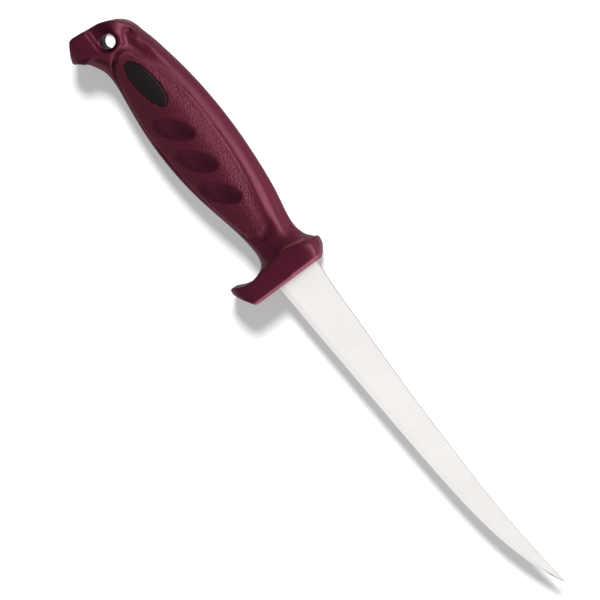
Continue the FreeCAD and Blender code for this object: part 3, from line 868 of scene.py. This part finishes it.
@dataclass
class Studio:
    """The pale floor, the lamps, the soft room and the camera.

    The camera looks down on the knife, leaned a little to the spine's side, with the knife turned in the
    picture. Sizes are in millimetres and degrees.
    """

    lean: float = 8.5
    turn: float = 53.4
    pixels_per_mm: float = 2.651
    picture: float = 600.0
    origin_pixel: Span = (315.75, 311.7)
    distance: float = 2000.0
    sight: float = 100000.0
    sensor: float = 36.0
    floor_reach: float = 3000.0
    floor_drop: float = 0.05
    # The share of white that the floor gives off, the part of it that reflections show, and the floor's
    # colour as it throws light back on the knife
    floor_glow: float = 0.36
    mirror_share: float = 0.2
    bounce_colour: str = "#80686A"
    room_strength: float = 0.20
    # The shadow lamp's way to the picture's right, up the picture and straight up
    shadow_way: tuple[float, float, float] = (0.06, 0.55, 0.83)
    shadow_strength: float = 4.2
    shadow_spread: float = 14.0
    # The narrow spot that lights the floor behind the lanyard bore, at the least cone that a spot can have
    pin_cone: float = 1.0
    pin_power: float = 40.0
    # The form from the tip's side, the sheen along the spine with its glint, the lift of the spine's flank
    # and of the belly's shade, and the soft box over the steel
    flat_lamps: tuple[FlatLamp, ...] = (
        FlatLamp("form_lamp", Lit.PLASTIC, (0.94, 0.05, 0.30), (0.5, 0.5), 5.7),
        FlatLamp("sheen_lamp", Lit.PLASTIC, (0.18, 0.82, 0.50), (0.9, 0.3), 6.5),
        FlatLamp("glint_lamp", Lit.PLASTIC, (0.18, 0.82, 0.50), (0.9, 0.3), 8.5, diffuse=False),
        FlatLamp("flank_lamp", Lit.PLASTIC, (0.18, 0.96, 0.10), (0.9, 0.3), 7.0, glossy=False),
        FlatLamp("fill_lamp", Lit.PLASTIC, (-0.1, -0.95, 0.25), (0.8, 0.8), 4.6, glossy=False),
        FlatLamp("soft_box", Lit.STEEL, (0.0, 0.0, 1.0), (2.4, 2.4), 15.0),
    )

    def axes(self) -> tuple[Vector, Vector, Vector]:
        """Return the picture's right and up directions, and the way back to the camera."""
        back = Vector((0.0, math.tan(math.radians(self.lean)), 1.0)).normalized()
        length = Vector((1.0, 0.0, 0.0))
        height = back.cross(length)
        swing = math.radians(self.turn)
        right = length * math.cos(swing) + height * math.sin(swing)
        up = height * math.cos(swing) - length * math.sin(swing)
        return right, up, back

    def camera(self) -> bpy.types.Object:
        """Place the camera at the photograph's angle.

        Returns:
            The camera.
        """
        right, up, back = self.axes()
        shift = [(self.picture / 2 - pixel) / self.pixels_per_mm for pixel in self.origin_pixel]
        target = right * shift[0] - up * shift[1] + back * MID_LEVEL
        width = self.picture / self.pixels_per_mm
        data = bpy.data.cameras.new("camera")
        data.sensor_width = self.sensor
        data.lens = self.sensor * self.distance / width
        data.clip_end = self.sight * MM
        camera = bpy.data.objects.new("camera", data)
        spot = (target + back * self.distance) * MM
        camera.matrix_world = Matrix.Translation(spot) @ Matrix((right, up, back)).transposed().to_4x4()
        bpy.context.scene.collection.objects.link(camera)
        bpy.context.scene.camera = camera
        return camera

    def floor(self) -> bpy.types.Object:
        """Lay the pale floor that takes the knife's shadow.

        Returns:
            The floor.
        """
        work = bmesh.new()
        bmesh.ops.create_grid(work, x_segments=1, y_segments=1, size=self.floor_reach * MM)
        bmesh.ops.translate(work, verts=work.verts[:], vec=(0.0, 0.0, -self.floor_drop * MM))
        floor = new_piece("floor", work)
        material, tree = new_material("pale_paper")
        rays = add_node(tree, "ShaderNodeLightPath").outputs
        mirrored = add_node(tree, "ShaderNodeMath", {"operation": "MULTIPLY"}, {1: self.mirror_share},
                            {0: rays["Is Glossy Ray"]}).outputs[0]
        seen = add_node(tree, "ShaderNodeMath", {"operation": "MAXIMUM"},
                        links={0: rays["Is Camera Ray"], 1: rays["Is Transmission Ray"]}).outputs[0]
        path = add_node(tree, "ShaderNodeMath", {"operation": "MAXIMUM"},
                        links={0: seen, 1: mirrored}).outputs[0]
        share = add_node(tree, "ShaderNodeMath", {"operation": "MULTIPLY"}, {1: self.floor_glow},
                         {0: path}).outputs[0]
        tone = add_node(tree, "ShaderNodeMix", {"data_type": "RGBA"}, {
            6: linear(self.bounce_colour), 7: linear(WHITE)}, {0: path}).outputs[2]
        paper = add_node(tree, "ShaderNodeBsdfDiffuse", links={"Color": tone}).outputs[0]
        white = add_node(tree, "ShaderNodeEmission", values={"Strength": 1.0}).outputs[0]
        shader = add_node(tree, "ShaderNodeMixShader", links={0: share, 1: paper, 2: white}).outputs[0]
        add_node(tree, "ShaderNodeOutputMaterial", links={"Surface": shader})
        floor.data.materials.append(material)
        return floor

    def room(self) -> None:
        """Surround the knife with a dim, even room."""
        world = bpy.data.worlds.new("studio_room")
        world.use_nodes = True
        tree = world.node_tree
        tree.nodes.clear()
        light = add_node(tree, "ShaderNodeBackground", values={
            "Color": linear(WHITE), "Strength": self.room_strength}).outputs[0]
        add_node(tree, "ShaderNodeOutputWorld", links={"Surface": light})
        bpy.context.scene.world = world

    def lamps(self, lit: dict[Lit, list[bpy.types.Object]]) -> None:
        """Drop the knife's shadow on the floor, hang the flat lamps, and light the floor behind the bore.

        Args:
            lit: The objects that are lit by the lamps of each kind.
        """
        right, up, back = self.axes()
        sun = bpy.data.lights.new("shadow_lamp", "SUN")
        sun.energy = self.shadow_strength
        sun.angle = math.radians(self.shadow_spread)
        aside, along, above = self.shadow_way
        self.aim(sun, Vector((0.0, 0.0, above)) + up * along + right * aside, lit[Lit.FLOOR])
        for lamp in self.flat_lamps:
            data = bpy.data.lights.new(lamp.name, "AREA")
            data.shape = "RECTANGLE"
            data.size, data.size_y = lamp.size
            data.energy = lamp.power
            hung = self.aim(data, Vector(lamp.way), lit[lamp.lit])
            hung.visible_diffuse = lamp.diffuse
            hung.visible_glossy = lamp.glossy
        pin = bpy.data.lights.new("pin_spot", "SPOT")
        pin.spot_size = math.radians(self.pin_cone)
        pin.spot_blend = 0.0
        pin.shadow_soft_size = 0.0
        pin.energy = self.pin_power
        hole = Vector((*BORE_PLACE, MID_LEVEL)) * MM
        self.aim(pin, back, lit[Lit.FLOOR]).location = hole + back

    def aim(self, data: bpy.types.Light, way: Vector, lit: list[bpy.types.Object]) -> bpy.types.Object:
        """Hang one lamp a metre off, aimed at the knife.

        Args:
            data: The lamp.
            way: The direction from the knife to the lamp.
            lit: The objects that it lights.

        Returns:
            The lamp's object.
        """
        group = bpy.data.collections.new(f"lit_by_{data.name}")
        for member in lit:
            group.objects.link(member)
        lamp = bpy.data.objects.new(data.name, data)
        lamp.rotation_euler = way.to_track_quat("Z", "Y").to_euler()
        lamp.location = way.normalized()
        lamp.light_linking.receiver_collection = group
        bpy.context.scene.collection.objects.link(lamp)
        return lamp


def main() -> None:
    """Build the knife and its studio, and report each piece."""
    logging.basicConfig(level=logging.INFO)
    bpy.context.scene.view_settings.view_transform = "Standard"
    inlay = BlackInlay()
    makers = [Grip(MouldedPolypropylene()), Blade(SatinGroundSteel()),
              Badge(Side.RIGHT, inlay), Badge(Side.LEFT, inlay)]
    pieces = []
    for maker in makers:
        piece = maker.build()
        faces = sum(len(face.vertices) - 2 for face in piece.data.polygons)
        LOG.info("%s: %d triangles", piece.name, faces)
        pieces.append(piece)
    studio = Studio()
    studio.camera()
    studio.room()
    grip, blade, *badges = pieces
    studio.lamps({Lit.FLOOR: [studio.floor()], Lit.PLASTIC: [grip, *badges], Lit.STEEL: [blade]})


if __name__ == "__main__":
    main()
